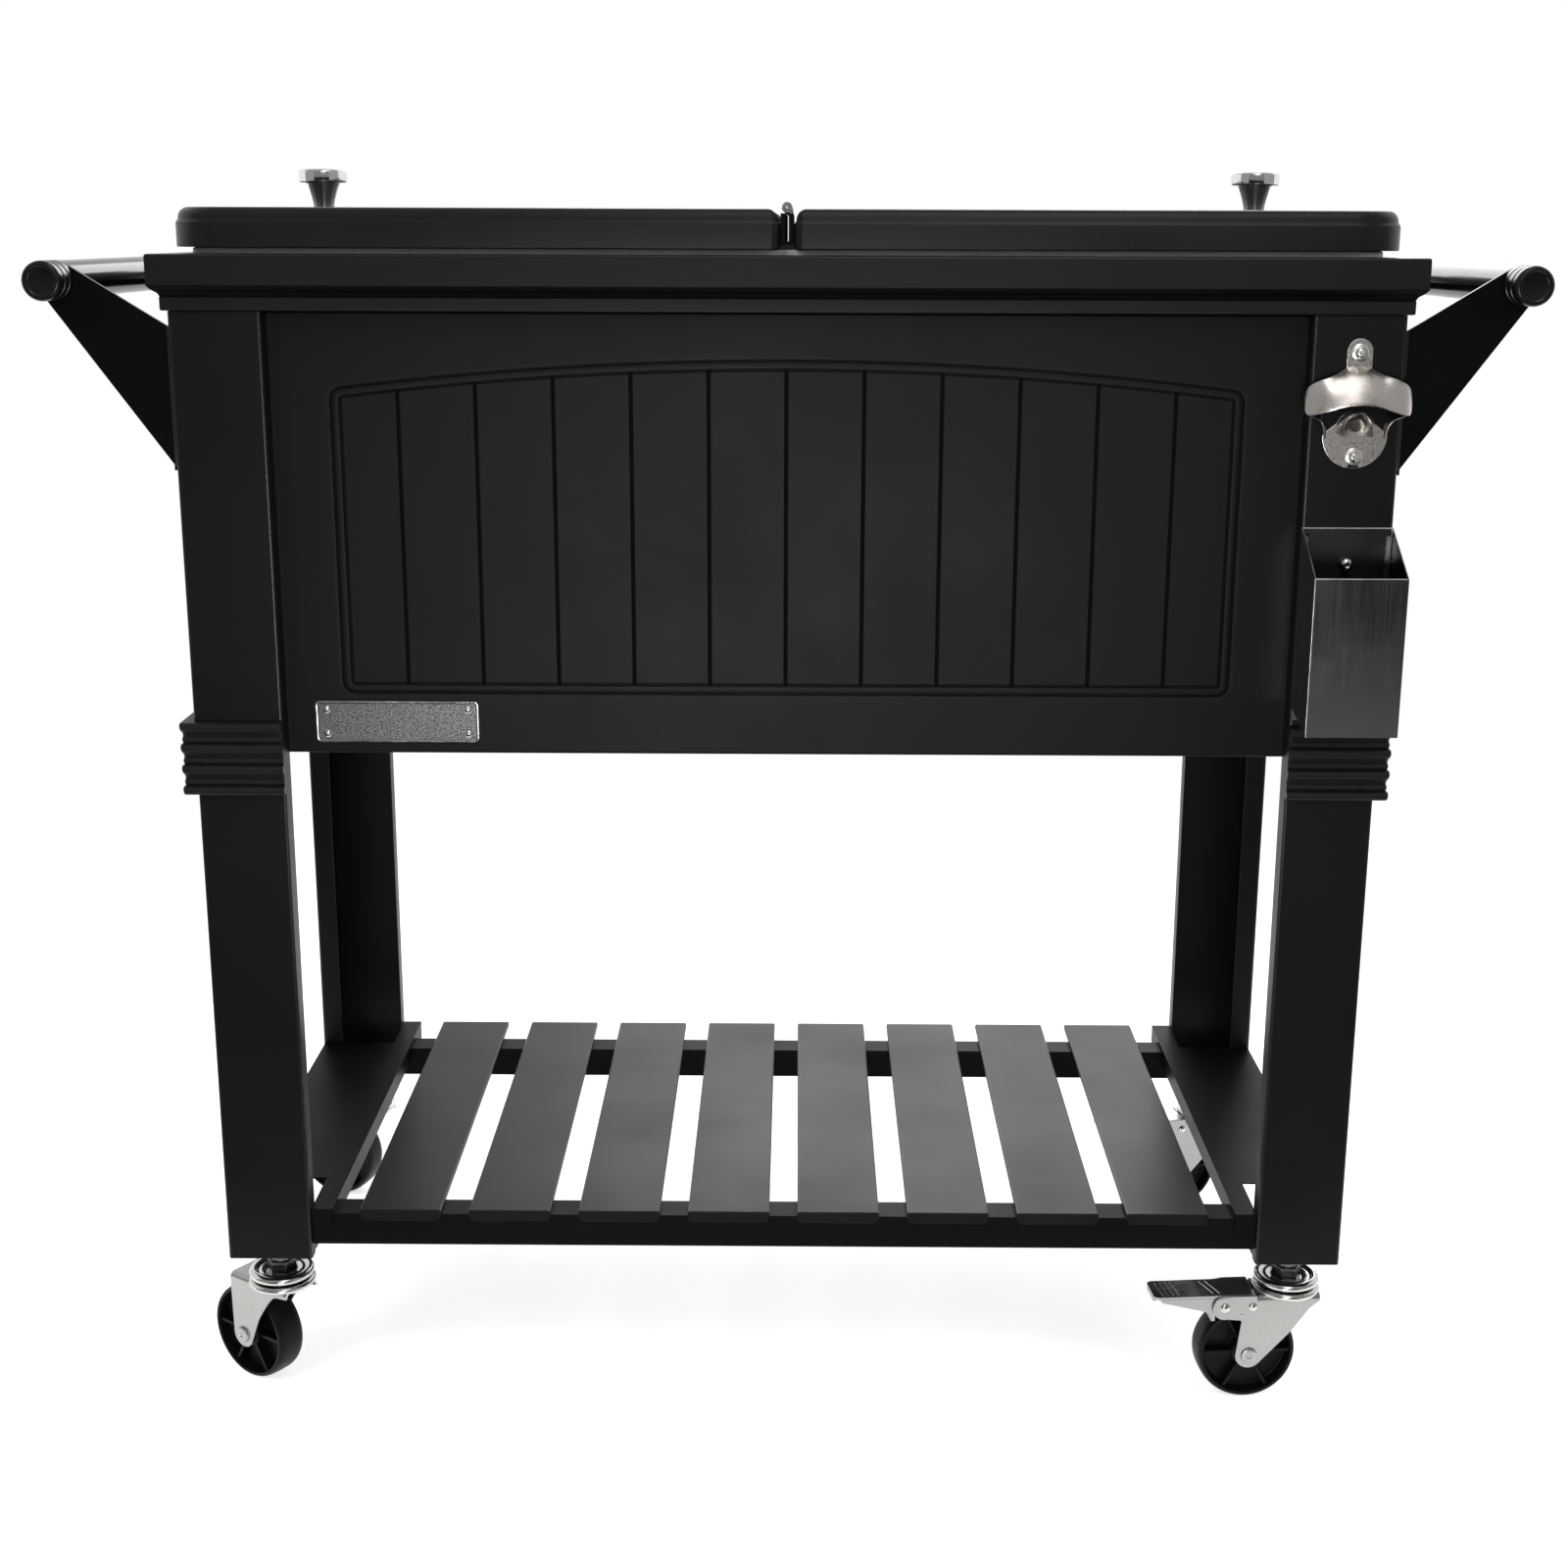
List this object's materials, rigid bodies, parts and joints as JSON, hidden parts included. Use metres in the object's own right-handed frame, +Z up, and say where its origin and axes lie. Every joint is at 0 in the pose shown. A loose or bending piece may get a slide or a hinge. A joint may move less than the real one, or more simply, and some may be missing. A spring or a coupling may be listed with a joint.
{
  "type": "rolling patio cooler",
  "caption": "Rolling patio cooler: insulated steel cabinet on legs with twin hinged lids, side handles, bottle opener, cap catcher, slatted shelf and swivel casters.",
  "frame": {"origin": "on the ground under the middle of the whole object's box", "axes": "+X to the object's right as its front is seen, +Y to its back, +Z up"},
  "size_m": [0.995, 0.466, 0.8991],
  "materials": {
    "powder_coat": "fine-textured satin black powder coat",
    "moulded_black": "moulded black plastic",
    "gloss_black": "gloss black paint",
    "liner_plastic": "grey moulded plastic",
    "tub_plastic": "dark moulded plastic",
    "foam": "rigid foam",
    "zinc": "bright zinc plate",
    "chrome": "polished chrome",
    "nickel": "satin nickel",
    "brushed_steel": "brushed stainless steel",
    "cast_plate": "satin cast plate",
    "wheel_plastic": "black wheel plastic"
  },
  "bodies": {
    "cabinet": {"front_left_leg": "powder_coat", "front_left_collar": "moulded_black", "front_left_handle_bracket": "powder_coat", "front_left_caster_mount": "zinc", "front_right_leg": "powder_coat", "front_right_collar": "moulded_black", "front_right_handle_bracket": "powder_coat", "front_right_caster_mount": "zinc", "rear_left_leg": "powder_coat", "rear_left_collar": "moulded_black", "rear_left_handle_bracket": "powder_coat", "rear_left_caster_mount": "zinc", "rear_right_leg": "powder_coat", "rear_right_collar": "moulded_black", "rear_right_handle_bracket": "powder_coat", "rear_right_caster_mount": "zinc", "front_panel": "powder_coat", "back_panel": "powder_coat", "left_side_panel": "powder_coat", "right_side_panel": "powder_coat", "base_pan": "powder_coat", "crown_moulding": "powder_coat", "hinge_crossbar": "powder_coat", "shelf_frame": "powder_coat", "shelf_slat_1": "powder_coat", "shelf_slat_2": "powder_coat", "shelf_slat_3": "powder_coat", "shelf_slat_4": "powder_coat", "shelf_slat_5": "powder_coat", "shelf_slat_6": "powder_coat", "shelf_slat_7": "powder_coat", "shelf_slat_8": "powder_coat", "insulation": "foam", "inner_tub": "tub_plastic", "bottle_opener": "nickel", "catcher_screw": "zinc", "front_plate": "cast_plate", "left_handle": "gloss_black", "right_handle": "gloss_black"},
    "left_lid": {"left_lid_shell": "powder_coat", "left_lid_liner": "liner_plastic", "left_hinge_leaf": "zinc", "left_lid_knob": "chrome", "hinge_pin": "zinc"},
    "right_lid": {"right_lid_shell": "powder_coat", "right_lid_liner": "liner_plastic", "right_hinge_leaf": "zinc", "right_lid_knob": "chrome"},
    "cap_catcher": {"cap_catcher": "brushed_steel"},
    "drain_cap": {"drain_cap": "moulded_black"},
    "front_left_fork": {"front_left_caster_fork": "zinc"},
    "front_left_wheel": {"front_left_wheel": "wheel_plastic"},
    "front_right_fork": {"front_right_caster_fork": "zinc"},
    "front_right_wheel": {"front_right_wheel": "wheel_plastic"},
    "rear_left_fork": {"rear_left_caster_fork": "zinc"},
    "rear_left_wheel": {"rear_left_wheel": "wheel_plastic"},
    "rear_right_fork": {"rear_right_caster_fork": "zinc"},
    "rear_right_wheel": {"rear_right_wheel": "wheel_plastic"},
    "front_right_pedal": {"front_right_brake_pedal": "zinc"},
    "rear_right_pedal": {"rear_right_brake_pedal": "zinc"}
  },
  "joints": [
    {"name": "right_lid_hinge", "type": "hinge", "parent": "cabinet", "child": "right_lid", "pos_m": [0, 0.013, 0.8713], "axis": [0, -1, 0], "range_deg": [0, 84]},
    {"name": "left_lid_hinge", "type": "hinge", "parent": "cabinet", "child": "left_lid", "pos_m": [0, 0.013, 0.8713], "axis": [0, 1, 0], "range_deg": [0, 84]},
    {"name": "catcher_lift", "type": "slide", "parent": "cabinet", "child": "cap_catcher", "axis": [0, 0, 1], "range_m": [0, 0.012]},
    {"name": "drain_cap_off", "type": "slide", "parent": "cabinet", "child": "drain_cap", "axis": [0, 0, -1], "range_m": [0, 0.014]},
    {"name": "front_left_swivel", "type": "hinge", "parent": "cabinet", "child": "front_left_fork", "pos_m": [-0.379, -0.154, 0.09], "axis": [0, 0, 1], "continuous": true},
    {"name": "front_left_wheel_spin", "type": "hinge", "parent": "front_left_fork", "child": "front_left_wheel", "pos_m": [-0.40358, -0.13679, 0.0375], "axis": [-0.5736, -0.8192, 0], "continuous": true},
    {"name": "front_right_swivel", "type": "hinge", "parent": "cabinet", "child": "front_right_fork", "pos_m": [0.379, -0.154, 0.09], "axis": [0, 0, 1], "continuous": true},
    {"name": "front_right_wheel_spin", "type": "hinge", "parent": "front_right_fork", "child": "front_right_wheel", "pos_m": [0.34911, -0.15662, 0.0375], "axis": [0.0872, -0.9962, 0], "continuous": true},
    {"name": "front_right_brake", "type": "hinge", "parent": "front_right_fork", "child": "front_right_pedal", "pos_m": [0.32919, -0.15836, 0.0768], "axis": [0.0872, -0.9962, 0], "range_deg": [0, 4]},
    {"name": "rear_left_swivel", "type": "hinge", "parent": "cabinet", "child": "rear_left_fork", "pos_m": [-0.379, 0.18, 0.09], "axis": [0, 0, 1], "continuous": true},
    {"name": "rear_left_wheel_spin", "type": "hinge", "parent": "rear_left_fork", "child": "rear_left_wheel", "pos_m": [-0.40719, 0.19026, 0.0375], "axis": [-0.342, -0.9397, 0], "continuous": true},
    {"name": "rear_right_swivel", "type": "hinge", "parent": "cabinet", "child": "rear_right_fork", "pos_m": [0.379, 0.18, 0.09], "axis": [0, 0, 1], "continuous": true},
    {"name": "rear_right_wheel_spin", "type": "hinge", "parent": "rear_right_fork", "child": "rear_right_wheel", "pos_m": [0.35002, 0.17223, 0.0375], "axis": [0.2588, -0.9659, 0], "continuous": true},
    {"name": "rear_right_brake", "type": "hinge", "parent": "rear_right_fork", "child": "rear_right_pedal", "pos_m": [0.3307, 0.16706, 0.0768], "axis": [0.2588, -0.9659, 0], "range_deg": [0, 4]}
  ]
}
